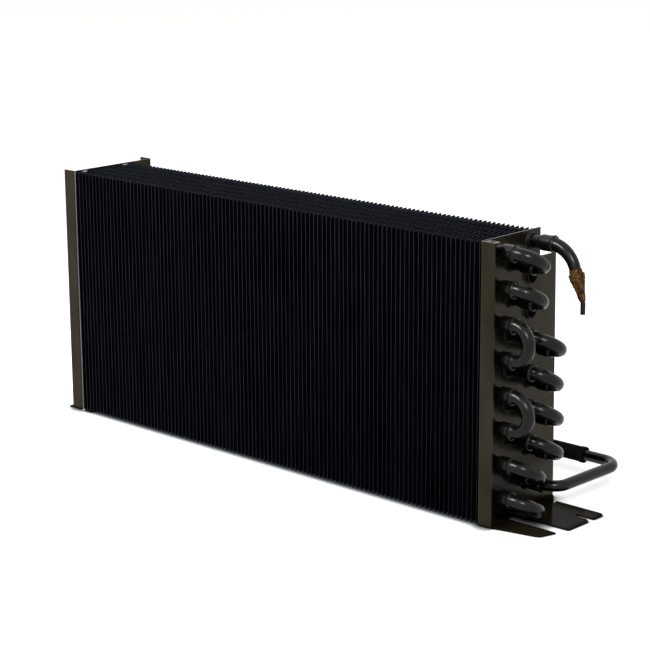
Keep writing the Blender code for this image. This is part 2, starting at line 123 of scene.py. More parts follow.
LOOP_SPLAY = 0.0012
LOOP_BACK = 0.1320
LOOP_CORNER = 0.0140
LOOP_TAIL = 0.1040
SLEEVE_OFFSET = 0.0315
SLEEVE_LENGTH = 0.0560
SLEEVE_WALL = 0.0014
HAIRPINS = ("c1 b1", "a1 a2", "b2 a3", "a4 b3", "c4 c5", "b4 a5", "a6 b5", "c6 c7", "b6 a7",
            "b7 a8", "b8 c8")
RETURN_BENDS = ("a1 b1", "a2 b2", "a3 a4", "b3 c4", "b4 c5", "a5 a6", "b5 c6", "b6 c7", "a7 b7",
                "a8 b8")
TUBES = sorted(" ".join(HAIRPINS).split())
INLET = "c1"
OUTLET = "c8"

# Places read from the frame
FIN_LOW, FIN_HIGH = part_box("fin_pack")
ORIGIN = Vector(((FIN_LOW.x + FIN_HIGH.x) / 2, FIN_LOW.y - FIN_INSET, 0))
FIN_BOTTOM = FIN_LOW.z
FIN_TOP = FIN_HIGH.z
PLATE_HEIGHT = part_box("end_plate_left")[1].z
FIN_PITCH = (FIN_HIGH.x - FIN_LOW.x - FIN_THICKNESS) / (FIN_COUNT - 1)
FIN_DEPTH = FIN_HIGH.y - FIN_LOW.y
COLUMNS = list(FIRST_QUARTERS)
COLUMN_PITCH = FIN_DEPTH / len(COLUMNS)
ROW_PITCH = (FIN_TOP - FIN_BOTTOM) / ROWS
RIGHT = FIN_COUNT * FIN_PITCH / 2
LEFT = -RIGHT

# Turns an outline of (back, up) to face along X
CROSSWISE = Matrix(((0, 0, 1, 0), (1, 0, 0, 0), (0, 1, 0, 0), (0, 0, 0, 1)))

# Clearances of the tubes in the plates and of the sleeve on its pipe
HOLE_CLEARANCE = 0.0003
SLEEVE_CLEARANCE = 0.0003

# Fineness of the visual meshes
TUBE_SIDES = 32
ARC_STEP = math.radians(5)
FOLD_STEP = math.radians(12)
HOLE_SIDES = 32
FIN_HOLE_SIDES = 12
COLLAR_SIDES = 24
COLLAR_STEPS = 6
BELL_CONE_STEPS = 5
WELD = 0.000005
CUT_PAST = 0.0020
EDGE_ROUNDING = 0.00025
SHARP_ANGLE = math.radians(40)
FIN_SHARP_ANGLE = math.radians(12)

# Fins: their ripples, the collars that space them, and how far their free edges stray, in waves
# of several lengths that each have a random share of FIN_STRAY
FIN_RIPPLES = 5
FIN_RIPPLE_HEIGHT = 0.0009
FIN_RIM = 0.0025
FIN_COLLAR_OUTER = 0.00508
FIN_COLLAR_WALL = 0.0003
FIN_FREE_EDGE = 0.0060
FIN_EDGE_POINTS = 16
FIN_STRAY = 0.00016
FIN_WAVES = (1, 2.3, 5.1)
FIN_WAVE_SHARES = (0.2, 1.0)
FIN_SEED = 11

# Bell mouths: the lip's flare, and how much of it is left at some distances in from the lip
LIP_FLARE = 0.00050
LIP_PROFILE = ((0, 0.7), (0.00012, 1.0), (0.00035, 1.0), (0.0006, 0.6), (0.0009, 0.2), (0.0018, 0.0))

# Bent tubes: how narrow their section is, and how quickly it gets so from a bend's ends
OVAL_ACROSS = 0.95
OVAL_EASE = 4

# Plate collars: their flare and how much of their height it may take, how deep they sink into the
# sheet, how thick the flare's rim is and how rounded their top is
COLLAR_FLARE = 0.0016
COLLAR_FLARE_SHARE = 0.6
COLLAR_SINK = 0.0001
COLLAR_RIM = 0.00005
COLLAR_ROUNDING = 0.0002
LEFT_COLLAR_HEIGHT = 0.0007

# Joints: their length and the shares of it that they vary between, how far in they start, how far
# their radius strays, how they meet lip and tube, and their height over the tube by share of length
JOINT_LENGTH = 0.0016
JOINT_SHARES = (0.8, 1.3)
JOINT_SINK = 0.0012
JOINT_STRAY = 0.012
JOINT_LIP_GAP = 0.0001
JOINT_LIP_RISE = 0.00005
JOINT_OVERLAP = 0.0002
JOINT_PROFILE = ((0.2, 0.00058), (0.5, 0.0003), (1.0, 0.00004))
JOINT_SEED = 5

# Pipe ends in bells: how far in from the lip their width changes, and how much stouter they are there
SWAGE_START = 0.0030
SWAGE_END = 0.0026
SWAGE_STEP = 0.0003

# Elbow: how much stouter in radius it starts than it ends
ELBOW_SWELL = 0.0009

# Stub: its radius, a little more than the source's, and how far past the elbow's end it starts
CAPILLARY_RADIUS = 0.0018
CAPILLARY_INSET = 0.0043

# Reducer: distance down the elbow's tail and outer radius at each step, its wall, and how its
# lumps stand out and dip in
REDUCER_PROFILE = (
    (-0.0026, 0.00425), (-0.0022, 0.0045), (-0.0010, 0.0046), (0.0, 0.0047), (0.0004, 0.0053),
    (0.0012, 0.0058), (0.0024, 0.0056), (0.0036, 0.0053), (0.0048, 0.0052), (0.0062, 0.0049),
    (0.0078, 0.0045), (0.0096, 0.0040), (0.0114, 0.0036), (0.0132, 0.0032), (0.0150, 0.0029),
    (0.0168, 0.0027), (0.0184, 0.0025), (0.0200, 0.0022))
REDUCER_WALL = 0.0004
LUMP_HEIGHT = 0.00045
LUMP_DIP = 0.4
LUMP_SCALES = (900, 2100)

# Sleeve: how far its skin stands out at some distances along it, with a thick ring at the start
SLEEVE_PROFILE = (
    (0, 0), (0.0003, 0.0004), (0.0032, 0.0004), (0.0035, 0), (SLEEVE_LENGTH - 0.0010, 0),
    (SLEEVE_LENGTH, -0.0004))

# Right foot: how far out its heel's notch ends, and the share of the slot's width that the corners
# of its closed end are rounded by
FOOT_HEEL_ROOT = 0.0135
SLOT_ROUNDING = 0.49

# How far some return bends reach, as a share of a half circle's reach, and how far the outlet's
# bell stops short of the other bells
BEND_REACH = {"a2 b2": 0.93, "a3 a4": 0.94, "b3 c4": 0.95, "b4 c5": 0.78, "b5 c6": 0.85,
              "b6 c7": 0.90}
OUTLET_SHORT = 0.0060

# Colour ramps of the materials, as (position, colour) stops
FIN_BLACKS = ((0.3, (0.0009, 0.0010, 0.0016)), (0.7, (0.0026, 0.0029, 0.0042)))
PLATE_BROWNS = ((0.3, (0.0060, 0.0042, 0.0020)), (0.7, (0.0140, 0.0105, 0.0055)))
COAT_BLACKS = ((0.3, (0.0012, 0.0011, 0.0007)), (0.7, (0.0036, 0.0033, 0.0022)))
BRAZE_BROWNS = ((0.34, (0.018, 0.008, 0.003)), (0.52, (0.062, 0.028, 0.009)),
                (0.68, (0.160, 0.086, 0.034)))
RUBBER_BLACKS = ((0.35, (0.0040, 0.0040, 0.0038)), (0.65, (0.0110, 0.0110, 0.0100)))

# Range that most values of a noise lie in
NOISE_LOW = 0.3
NOISE_HIGH = 0.7

# Painted highlights: bright fin edges, the bright fold of the left plate and the bright metallic tops
# of its highest collars
FIN_EDGE_HIGHLIGHT_WIDTH = 0.0004
FIN_EDGE_HIGHLIGHT_COLOUR = (0.034, 0.037, 0.050)
FOLD_HIGHLIGHT_COLOUR = (0.35, 0.35, 0.33)
TOP_HIGHLIGHT_DROP = 0.0030
TOP_HIGHLIGHT_COLOUR = (0.50, 0.49, 0.46)

# Gloss: its warm tint on the plates, its strength and roughness on their feet, and its strength
# on the coated tubes
PLATE_TINT = (1.0, 0.83, 0.52)
FOOT_SPECULAR = 0.012
FOOT_ROUGHNESS = 0.12
COAT_SPECULAR = 0.24

# Even light of the surroundings
SKY_COLOUR = (1.0, 0.98, 0.95)
SKY_STRENGTH = 0.3

# Floor: how far below the feet it lies, its size, its matt tones as the camera and as other rays
# see it, its glow, and how far and how strongly painted shade darkens it in narrow gaps
FLOOR_DROP = 0.0001
FLOOR_HALF = 6.0
FLOOR_TONE_SEEN = 0.9
FLOOR_TONE = 0.8
FLOOR_GLOW = 0.7
FLOOR_PAINTED_SHADE_REACH = 0.012
FLOOR_PAINTED_SHADE_POWER = 4.0

# Softboxes: place, the point each looks at, size, power and colour
SOFTBOXES = {
    "key": ((1.25, -1.05, 1.15), (0.1, 0, 0.1), (0.40, 0.40), 18, (0.80, 0.89, 1.0)),
    "overhead": ((-0.3, -1.1, 1.25), (0.2, 0, 0.1), (1.0, 0.20), 36, (0.88, 0.94, 1.0)),
}

# Camera fitted to the photograph: where it stands in the world and how it is turned
CAMERA_PLACE = (1.03599, -1.12013, 0.48516)
CAMERA_AZIMUTH = 0.7529
CAMERA_ELEVATION = 0.2466
CAMERA_ROLL = -0.0059
FOCAL_PIXELS = 1997.775
FRAME_PIXELS = 650
SENSOR_WIDTH = 36


def tube_place(name, x=0.0):
    """Centre of a tube, named by its column letter and its row counted from the top."""
    column, row = name[0], int(name[1:])
    back = FIN_INSET + COLUMN_PITCH * (COLUMNS.index(column) + 0.5)
    down = ROW_PITCH * (FIRST_QUARTERS[column] / 4 + row - 1)
    return Vector((x, back, FIN_TOP - down))


def all_tube_places():
    """Centres of every tube place, those without a tube too."""
    return [tube_place(column + str(row + 1)) for column in COLUMNS for row in range(ROWS)]


def vacant_places():
    """Centres of the tube places that hold no tube."""
    taken = [tube_place(name) for name in TUBES]
    return [place for place in all_tube_places() if place not in taken]


def round_corners(corners, step):
    """Points of a path whose corners, given as (point, radius), are turned into arcs."""
    made = []
    count = len(corners)
    for i, (corner, radius) in enumerate(corners):
        corner = Vector(corner)
        if not radius:
            made.append(corner)
            continue
        before = (Vector(corners[i - 1][0]) - corner).normalized()
        after = (Vector(corners[(i + 1) % count][0]) - corner).normalized()
        half = before.angle(after) / 2
        centre = corner + (before + after).normalized() * radius / math.sin(half)
        start = corner + before * radius / math.tan(half) - centre
        end = corner + after * radius / math.tan(half) - centre
        turn = start.angle(end)
        steps = max(2, round(turn / step))
        for i_step in range(steps + 1):
            share = turn * i_step / steps
            point = centre + (start * math.sin(turn - share) + end * math.sin(share)) / math.sin(turn)
            if not made or (made[-1] - point).length > WELD:
                made.append(point)
    return made


def half_turn(pair, x, out):
    """Smooth arc that joins two tube places at x, bulging by out times its radius along X."""
    start, end = (tube_place(name, x) for name in pair.split())
    middle = (start + end) / 2
    across = (start - end) / 2
    reach = Vector((out * across.length, 0, 0))
    steps = round(math.pi / ARC_STEP)
    angles = [math.pi * step / steps for step in range(steps + 1)]
    return [middle + across * math.cos(angle) + reach * math.sin(angle) for angle in angles]


def circle(x, y, radius, sides):
    """Points of a circle."""
    angles = [2 * math.pi * (step + 0.5) / sides for step in range(sides)]
    return [(x + radius * math.cos(angle), y + radius * math.sin(angle)) for angle in angles]


def new_object(name, data):
    """Object with the given data, in the scene."""
    made = bpy.data.objects.new(name, data)
    bpy.context.scene.collection.objects.link(made)
    return made


def finished_mesh(name, bm):
    """Mesh of what has been built in a bmesh, which is let go."""
    mesh = bpy.data.meshes.new(name)
    bm.to_mesh(mesh)
    bm.free()
    return mesh


def evaluated_mesh(thing):
    """Mesh of an object with its modifiers, or its curve's fill, worked out."""
    bpy.context.view_layer.update()
    graph = bpy.context.evaluated_depsgraph_get()
    return bpy.data.meshes.new_from_object(thing.evaluated_get(graph))


def add_piece(name, mesh, material, replaced):
    """Piece of the coil from a mesh in the coil's frame, with its material and body; the parts it
    replaces are hidden.
    """
    mesh.name = name
    piece = new_object(name, mesh)
    piece.location = ORIGIN
    mesh.materials.clear()
    mesh.materials.append(material)
    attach(piece, BODY)
    if replaced:
        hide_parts(*replaced)
    return piece


def mesh_of(shapes, sharp=SHARP_ANGLE):
    """One smooth-shaded mesh from several (points, faces) shapes."""
    points, faces = [], []
    for shape_points, shape_faces in shapes:
        start = len(points)
        points.extend(shape_points)
        faces.extend([[corner + start for corner in face] for face in shape_faces])
    mesh = bpy.data.meshes.new("shape")
    mesh.from_pydata([tuple(point) for point in points], [], faces)
    mesh.validate()
    mesh.shade_smooth()
    mesh.set_sharp_from_angle(angle=sharp)
    return mesh


def sweep(path, radii, normal, wall, sides=TUBE_SIDES, across=None):
    """Hollow tube along a flat path, with an outer radius at each point.

    The path lies in the plane square to normal. The values of across narrow the section in
    that plane, as bending does to a tube.
    """
    path = [Vector(point) for point in path]
    normal = Vector(normal).normalized()
    angles = [2 * math.pi * step / sides for step in range(sides)]
    rings = []
    for i, point in enumerate(path):
        ahead = path[min(i + 1, len(path) - 1)] - path[max(i - 1, 0)]
        side = ahead.cross(normal).normalized()
        narrow = across[i] if across else 1.0
        circle_points = [side * math.cos(angle) * narrow + normal * math.sin(angle) for angle in angles]
        for radius in (radii[i], radii[i] - wall):
            rings.append([point + offset * radius for offset in circle_points])
    points = [point for ring in rings for point in ring]
    faces = []

    def join(first, second):
        for k in range(sides):
            after = (k + 1) % sides
            faces.append([first * sides + k, first * sides + after,
                          second * sides + after, second * sides + k])

    for i in range(len(path) - 1):
        join(2 * i, 2 * i + 2)
        join(2 * i + 3, 2 * i + 1)
    join(1, 0)
    join(2 * len(path) - 2, 2 * len(path) - 1)
    return points, faces


def lathe(place, profile, sides, stray=0.0, draws=None):
    """Ring turned round the X axis through a place, from a closed (x, radius) profile."""
    points, faces = [], []
    count = len(profile)
    for k in range(sides):
        angle = 2 * math.pi * k / sides
        grow = 1.0 + (draws.uniform(-stray, stray) if draws else 0.0)
        for x, radius in profile:
            points.append(Vector((place.x + x, place.y + radius * grow * math.cos(angle),
                                  place.z + radius * grow * math.sin(angle))))
        start, after = k * count, ((k + 1) % sides) * count
        for i in range(count):
            j = (i + 1) % count
            faces.append([start + i, start + j, after + j, after + i])
    return points, faces


def sheet_mesh(outlines, thickness, place):
    """Mesh of a flat sheet cut to an outline, with any further outlines as holes."""
    data = bpy.data.curves.new("outline", "CURVE")
    data.dimensions = "2D"
    data.fill_mode = "BOTH"
    data.extrude = thickness / 2
    for outline in outlines:
        spline = data.splines.new("POLY")
        spline.points.add(len(outline) - 1)
        spline.use_cyclic_u = True
        for point, spot in zip(spline.points, outline):
            point.co = (spot[0], spot[1], 0.0, 1.0)
    curve = new_object("outline", data)
    mesh = evaluated_mesh(curve)
    bpy.data.objects.remove(curve)
    bm = bmesh.new()
    bm.from_mesh(mesh)
    bmesh.ops.remove_doubles(bm, verts=bm.verts, dist=WELD)
    bmesh.ops.recalc_face_normals(bm, faces=bm.faces)
    bm.to_mesh(mesh)
    bm.free()
    mesh.transform(place)
    return mesh


def combined(mesh, steps):
    """Mesh after a list of (operation, other mesh) Boolean steps."""
    target = new_object("target", mesh)
    others = []
    for operation, other_mesh in steps:
        others.append(new_object("other", other_mesh))
        step = target.modifiers.new("step", "BOOLEAN")
        step.operation = operation
        step.solver = "EXACT"
        step.object = others[-1]
    made = evaluated_mesh(target)
    for thing in (target, *others):
        bpy.data.objects.remove(thing)
    return made


def round_edges(piece):
    """Round a sheet's cut edges a little, so that they catch the light."""
    piece.data.shade_smooth()
    piece.data.set_sharp_from_angle(angle=SHARP_ANGLE)
    edges = piece.modifiers.new("edges", "BEVEL")
    edges.width = EDGE_ROUNDING
    edges.segments = 2
    edges.limit_method = "ANGLE"
    edges.angle_limit = SHARP_ANGLE
    edges.use_clamp_overlap = True
    shading = piece.modifiers.new("shading", "WEIGHTED_NORMAL")
    shading.mode = "FACE_AREA"
    shading.weight = 100
    shading.keep_sharp = True


def new_material(name, colour, roughness, specular, tint=(1.0, 1.0, 1.0)):
    """Principled material with its plain values, and its node tree's parts."""
    material = bpy.data.materials.new(name)
    material.use_nodes = True
    material.diffuse_color = (*colour, 1.0)
    tree = material.node_tree
    shader = tree.nodes["Principled BSDF"]
    shader.inputs["Base Color"].default_value = (*colour, 1.0)
    shader.inputs["Roughness"].default_value = roughness
    shader.inputs["Specular IOR Level"].default_value = specular
    shader.inputs["Specular Tint"].default_value = (*tint, 1.0)
    return material, tree, shader


def noise(tree, scale, detail, stretch=(1.0, 1.0, 1.0)):
    """Noise over the object's own coordinates, stretched along its axes."""
    place = tree.nodes.new("ShaderNodeTexCoord")
    mapping = tree.nodes.new("ShaderNodeMapping")
    mapping.inputs["Scale"].default_value = stretch
    made = tree.nodes.new("ShaderNodeTexNoise")
    made.inputs["Scale"].default_value = scale
    made.inputs["Detail"].default_value = detail
    tree.links.new(place.outputs["Object"], mapping.inputs["Vector"])
    tree.links.new(mapping.outputs["Vector"], made.inputs["Vector"])
    return made


def ramp(tree, source, stops):
    """Colour ramp of (position, colour) stops driven by a value."""
    made = tree.nodes.new("ShaderNodeValToRGB")
    elements = made.color_ramp.elements
    while len(elements) < len(stops):
        elements.new(0.5)
    for element, (position, colour) in zip(elements, stops):
        element.position = position
        element.color = (*colour, 1.0)
    tree.links.new(source, made.inputs["Fac"])
    return made.outputs["Color"]


def spread(tree, source, low, high):
    """Value of a noise spread to a range."""
    made = tree.nodes.new("ShaderNodeMapRange")
    made.inputs["From Min"].default_value = NOISE_LOW
    made.inputs["From Max"].default_value = NOISE_HIGH
    made.inputs["To Min"].default_value = low
    made.inputs["To Max"].default_value = high
    tree.links.new(source, made.inputs["Value"])
    return made.outputs["Result"]


def along(tree, axis, low, high):
    """Value that goes from 0 to 1 between two coordinates of the coil along an axis."""
    place = tree.nodes.new("ShaderNodeTexCoord")
    split = tree.nodes.new("ShaderNodeSeparateXYZ")
    made = tree.nodes.new("ShaderNodeMapRange")
    made.inputs["From Min"].default_value = low
    made.inputs["From Max"].default_value = high
    tree.links.new(place.outputs["Object"], split.inputs["Vector"])
    tree.links.new(split.outputs[axis], made.inputs["Value"])
    return made.outputs["Result"]


def feed(tree, socket, source):
    """Give a socket a number, or the value of another node's output."""
    if isinstance(source, float):
        socket.default_value = source
    else:
        tree.links.new(source, socket)


def worked_out(tree, operation, first, second):
    """Value worked out from two others."""
    made = tree.nodes.new("ShaderNodeMath")
    made.operation = operation
    feed(tree, made.inputs[0], first)
    feed(tree, made.inputs[1], second)
    return made.outputs["Value"]


def blend(tree, share, first, second):
    """Value that goes from one value or number to another by a share."""
    made = tree.nodes.new("ShaderNodeMix")
    made.data_type = "FLOAT"
    tree.links.new(share, made.inputs["Factor"])
    feed(tree, made.inputs["A"], first)
    feed(tree, made.inputs["B"], second)
    return made.outputs["Result"]


def tinted(tree, share, first, second):
    """Colour that goes from one output to a plain colour by a share."""
    made = tree.nodes.new("ShaderNodeMixRGB")
    tree.links.new(share, made.inputs["Fac"])
    tree.links.new(first, made.inputs["Color1"])
    made.inputs["Color2"].default_value = (*second, 1.0)
    return made.outputs["Color"]


def bump(tree, shader, height, strength, distance):
    """Bump on a shader from a height value."""
    made = tree.nodes.new("ShaderNodeBump")
    made.inputs["Strength"].default_value = strength
    made.inputs["Distance"].default_value = distance
    tree.links.new(height, made.inputs["Height"])
    tree.links.new(made.outputs["Normal"], shader.inputs["Normal"])


def fin_material():
    """Blue-black dipped fins, streaked, with painted highlights on their front, back and top edges."""
    material, tree, shader = new_material("fin_black", (0.005, 0.006, 0.010),
                                          roughness=0.42, specular=0.03)
    streaks = noise(tree, scale=60, detail=4, stretch=(1.0, 1.0, 0.15))
    colour = ramp(tree, streaks.outputs["Fac"], FIN_BLACKS)
    back = FIN_INSET + FIN_DEPTH
    # The lighter front, back and top edges are a painted highlight, in patches.
    front_edge = along(tree, "Y", FIN_INSET + FIN_EDGE_HIGHLIGHT_WIDTH, FIN_INSET)
    back_edge = along(tree, "Y", back - FIN_EDGE_HIGHLIGHT_WIDTH, back)
    top_edge = along(tree, "Z", FIN_TOP - FIN_EDGE_HIGHLIGHT_WIDTH, FIN_TOP)
    side_edge = worked_out(tree, "MAXIMUM", front_edge, back_edge)
    patches = noise(tree, scale=90, detail=3, stretch=(3.0, 1.0, 0.3))
    edge_highlight_share = spread(tree, patches.outputs["Fac"], low=0.35, high=1.0)
    # The painted edge highlight fades towards the pack's low right, as painted shade.
    highlight_kept_at_right = along(tree, "Z", -FIN_TOP / 4, FIN_TOP)
    highlight_kept = blend(tree, along(tree, "X", LEFT, RIGHT), 1.0, highlight_kept_at_right)
    lit_side_edges = worked_out(tree, "MULTIPLY", side_edge, blend(tree, highlight_kept, 0.0, edge_highlight_share))
    edge_highlight = worked_out(tree, "MAXIMUM", lit_side_edges, top_edge)
    colour = tinted(tree, edge_highlight, colour, FIN_EDGE_HIGHLIGHT_COLOUR)
    tree.links.new(colour, shader.inputs["Base Color"])
    grain = spread(tree, streaks.outputs["Fac"], low=0.38, high=0.55)
    tree.links.new(grain, shader.inputs["Roughness"])
    fine = noise(tree, scale=2500, detail=2)
    bump(tree, shader, fine.outputs["Fac"], strength=0.2, distance=0.00005)
    return material


def plate_material():
    """Dark coated steel with a warm satin sheen, orange-peel skin and cloudy patches, duller foot."""
    material, tree, shader = new_material("plate_brown", (0.010, 0.008, 0.004), roughness=0.26,
                                          specular=0.22, tint=PLATE_TINT)
    clouds = noise(tree, scale=28, detail=5, stretch=(1.0, 1.0, 0.5))
    colour = ramp(tree, clouds.outputs["Fac"], PLATE_BROWNS)
    # A light band on the left plate's front fold is a painted highlight.
    past_left = along(tree, "X", LEFT + SHEET / 3, LEFT + SHEET)
    short_of_right = along(tree, "X", LEFT + 3 * SHEET, LEFT + 2 * SHEET)
    in_front = along(tree, "Y", FOLD_RADIUS, FOLD_RADIUS / 2)
    fold_highlight = worked_out(tree, "MINIMUM", past_left, short_of_right)
    fold_highlight = worked_out(tree, "MINIMUM", fold_highlight, in_front)
    tree.links.new(tinted(tree, fold_highlight, colour, FOLD_HIGHLIGHT_COLOUR), shader.inputs["Base Color"])
    above_foot = along(tree, "Z", SHEET + FOOT_SLIT / 2, SHEET + FOOT_SLIT)
    sheen = spread(tree, clouds.outputs["Fac"], low=0.18, high=0.25)
    tree.links.new(blend(tree, above_foot, FOOT_SPECULAR, sheen), shader.inputs["Specular IOR Level"])
    grain = spread(tree, clouds.outputs["Fac"], low=0.22, high=0.32)
    tree.links.new(blend(tree, above_foot, FOOT_ROUGHNESS, grain), shader.inputs["Roughness"])
    peel = noise(tree, scale=900, detail=3)
    bump(tree, shader, peel.outputs["Fac"], strength=0.12, distance=0.0001)
    return material


def collar_top_highlight_material():
    """Black coated collars, with a bright metallic colour on their topmost edges as a painted
    highlight.
    """
    material, tree, shader = new_material("collar_top_highlight", (0.002, 0.002, 0.001),
                                          roughness=0.35, specular=0.1)
    # The bright metallic colour on the topmost collar edges is a painted highlight.
    top_highlight = along(tree, "Z", FIN_TOP - TOP_HIGHLIGHT_DROP, FIN_TOP - TOP_HIGHLIGHT_DROP / 2)
    clouds = noise(tree, scale=300, detail=3)
    colour = ramp(tree, clouds.outputs["Fac"], COAT_BLACKS)
    tree.links.new(tinted(tree, top_highlight, colour, TOP_HIGHLIGHT_COLOUR), shader.inputs["Base Color"])
    tree.links.new(top_highlight, shader.inputs["Metallic"])
    grain = spread(tree, clouds.outputs["Fac"], low=0.25, high=0.5)
    tree.links.new(grain, shader.inputs["Roughness"])
    return material


def tube_material(name, smoothest, roughest):
    """Black coating on copper tube, with a few runs and dull patches."""
    middle = (smoothest + roughest) / 2
    material, tree, shader = new_material(name, (0.004, 0.004, 0.002), middle, COAT_SPECULAR)
    clouds = noise(tree, scale=120, detail=4)
    colour = ramp(tree, clouds.outputs["Fac"], COAT_BLACKS)
    tree.links.new(colour, shader.inputs["Base Color"])
    grain = spread(tree, clouds.outputs["Fac"], smoothest, roughest)
    tree.links.new(grain, shader.inputs["Roughness"])
    runs = noise(tree, scale=380, detail=3)
    bump(tree, shader, runs.outputs["Fac"], strength=0.25, distance=0.0001)
    return material


def braze_material():
    """Heat-stained braze metal and flux, brown with lighter grains."""
    material, tree, shader = new_material("brown_braze", (0.080, 0.034, 0.008),
                                          roughness=0.6, specular=0.04)
    grains = noise(tree, scale=420, detail=6)
    colour = ramp(tree, grains.outputs["Fac"], BRAZE_BROWNS)
    tree.links.new(colour, shader.inputs["Base Color"])
    bump(tree, shader, grains.outputs["Fac"], strength=0.6, distance=0.0003)
    return material


def rubber_material():
    """Dull black foam rubber."""
    material, tree, shader = new_material("sleeve_rubber", (0.008, 0.008, 0.007),
                                          roughness=0.85, specular=0.02)
    pores = noise(tree, scale=1400, detail=4)
    colour = ramp(tree, pores.outputs["Fac"], RUBBER_BLACKS)
    tree.links.new(colour, shader.inputs["Base Color"])
    bump(tree, shader, pores.outputs["Fac"], strength=0.4, distance=0.0002)
    return material


def ripple(back):
    """How far a rippled fin stands off its plane at some distances back from its front edge."""
    inner = FIN_DEPTH - 2 * FIN_RIM
    turns = np.clip((back - FIN_RIM) / inner, 0, 1) * FIN_RIPPLES
    return FIN_RIPPLE_HEIGHT * (1 - 2 * abs(2 * (turns % 1) - 1))


def rippled_fin():
    """Points and faces of one fin, folded into ripples that run up and down.

    Only the places without a tube are cut out, as a tube's collars hide the holes of the others.
    """
    heights = np.linspace(FIN_BOTTOM, FIN_TOP, FIN_EDGE_POINTS)
    front = [(FIN_INSET, z) for z in heights]
    back = [(FIN_INSET + FIN_DEPTH, z) for z in heights[::-1]]
    holes = [circle(place.y, place.z, FIN_COLLAR_OUTER, FIN_HOLE_SIDES) for place in vacant_places()]
    sheet = sheet_mesh([front + back] + holes, FIN_THICKNESS, CROSSWISE)
    bm = bmesh.new()
    bm.from_mesh(sheet)
    for fold in range(2 * FIN_RIPPLES + 1):
        back_to = FIN_INSET + FIN_RIM + (FIN_DEPTH - 2 * FIN_RIM) * fold / (2 * FIN_RIPPLES)
        bmesh.ops.bisect_plane(bm, geom=bm.verts[:] + bm.edges[:] + bm.faces[:], dist=WELD,
                               plane_co=(0, back_to, 0), plane_no=(0, 1, 0))
    bm.verts.index_update()
    points = np.array([vertex.co for vertex in bm.verts])
    faces = [[vertex.index for vertex in face.verts] for face in bm.faces]
    bm.free()
    return points, faces


def build_fins(material):
    """All the fins, in two pieces, and the collars that space them."""
    points, faces = rippled_fin()
    draws = random.Random(FIN_SEED)
    back = points[:, 1] - FIN_INSET
    points[:, 0] += ripple(back) + FIN_RIPPLE_HEIGHT
    free = np.clip(1 - back / FIN_FREE_EDGE, 0, 1) ** 2
    free += np.clip(1 - (FIN_DEPTH - back) / FIN_FREE_EDGE, 0, 1) ** 2
    up = (points[:, 2] - FIN_BOTTOM) / (FIN_TOP - FIN_BOTTOM)
    half = FIN_COUNT // 2
    for name, numbers in (("fins_left", range(half)), ("fins_right", range(half, FIN_COUNT))):
        all_points, all_faces = [], []
        for i in numbers:
            stray = np.zeros(len(points))
            for waves in FIN_WAVES:
                turn = draws.uniform(0, 2 * math.pi)
                size = draws.uniform(*FIN_WAVE_SHARES) * FIN_STRAY
                stray += size * np.sin(turn + waves * math.pi * up)
            moved = points.copy()
            moved[:, 0] += LEFT + FIN_PITCH * (i + 0.5) + stray * free
            start = len(all_points)
            all_points.extend(moved.tolist())
            all_faces.extend([[corner + start for corner in face] for face in faces])
        mesh = mesh_of([(all_points, all_faces)], FIN_SHARP_ANGLE)
        add_piece(name, mesh, material, ("fin_pack",))
    end = RIGHT - SHEET
    shapes = []
    for place in all_tube_places():
        path = [Vector((x, place.y, place.z)) for x in (-end, end)]
        shapes.append(sweep(path, [FIN_COLLAR_OUTER] * 2, (0, 0, 1), FIN_COLLAR_WALL, COLLAR_SIDES))
    add_piece("fin_spacers", mesh_of(shapes), material, ("fin_pack",))


def sheet_outline(corners):
    """Closed outline of a folded sheet's section from the corners of its middle line."""
    path = round_corners(corners, FOLD_STEP)
    left, right = [], []
    for i, point in enumerate(path):
        ahead = path[min(i + 1, len(path) - 1)] - path[max(i - 1, 0)]
        side = Vector((-ahead.y, ahead.x, 0)).normalized() * SHEET / 2
        left.append(point + side)
        right.append(point - side)
    return left + right[::-1]


def folded_plate(corners, base_x):
    """Mesh of an upright folded sheet as high as the end plates."""
    place = Matrix.Translation((base_x, 0, PLATE_HEIGHT / 2))
    return sheet_mesh((sheet_outline(corners),), PLATE_HEIGHT, place)


def box_mesh(low, high):
    """Mesh of a box between two corners."""
    low, high = Vector(low), Vector(high)
    bm = bmesh.new()
    size = Matrix.Diagonal((*(high - low), 1.0))
    bmesh.ops.create_cube(bm, size=1.0, matrix=Matrix.Translation((low + high) / 2) @ size)
    return finished_mesh("box", bm)


def hole_rods(base_x, radius):
    """Mesh of the rods that cut the tube holes through an end plate."""
    depth = SHEET + CUT_PAST
    outlines = [circle(place.y, place.z, radius, HOLE_SIDES) for place in all_tube_places()]
    bm = bmesh.new()
    for outline in outlines:
        rod = sheet_mesh((outline,), 2 * depth, Matrix.Translation((base_x, 0, 0)) @ CROSSWISE)
        bm.from_mesh(rod)
        bpy.data.meshes.remove(rod)
    return finished_mesh("rods", bm)


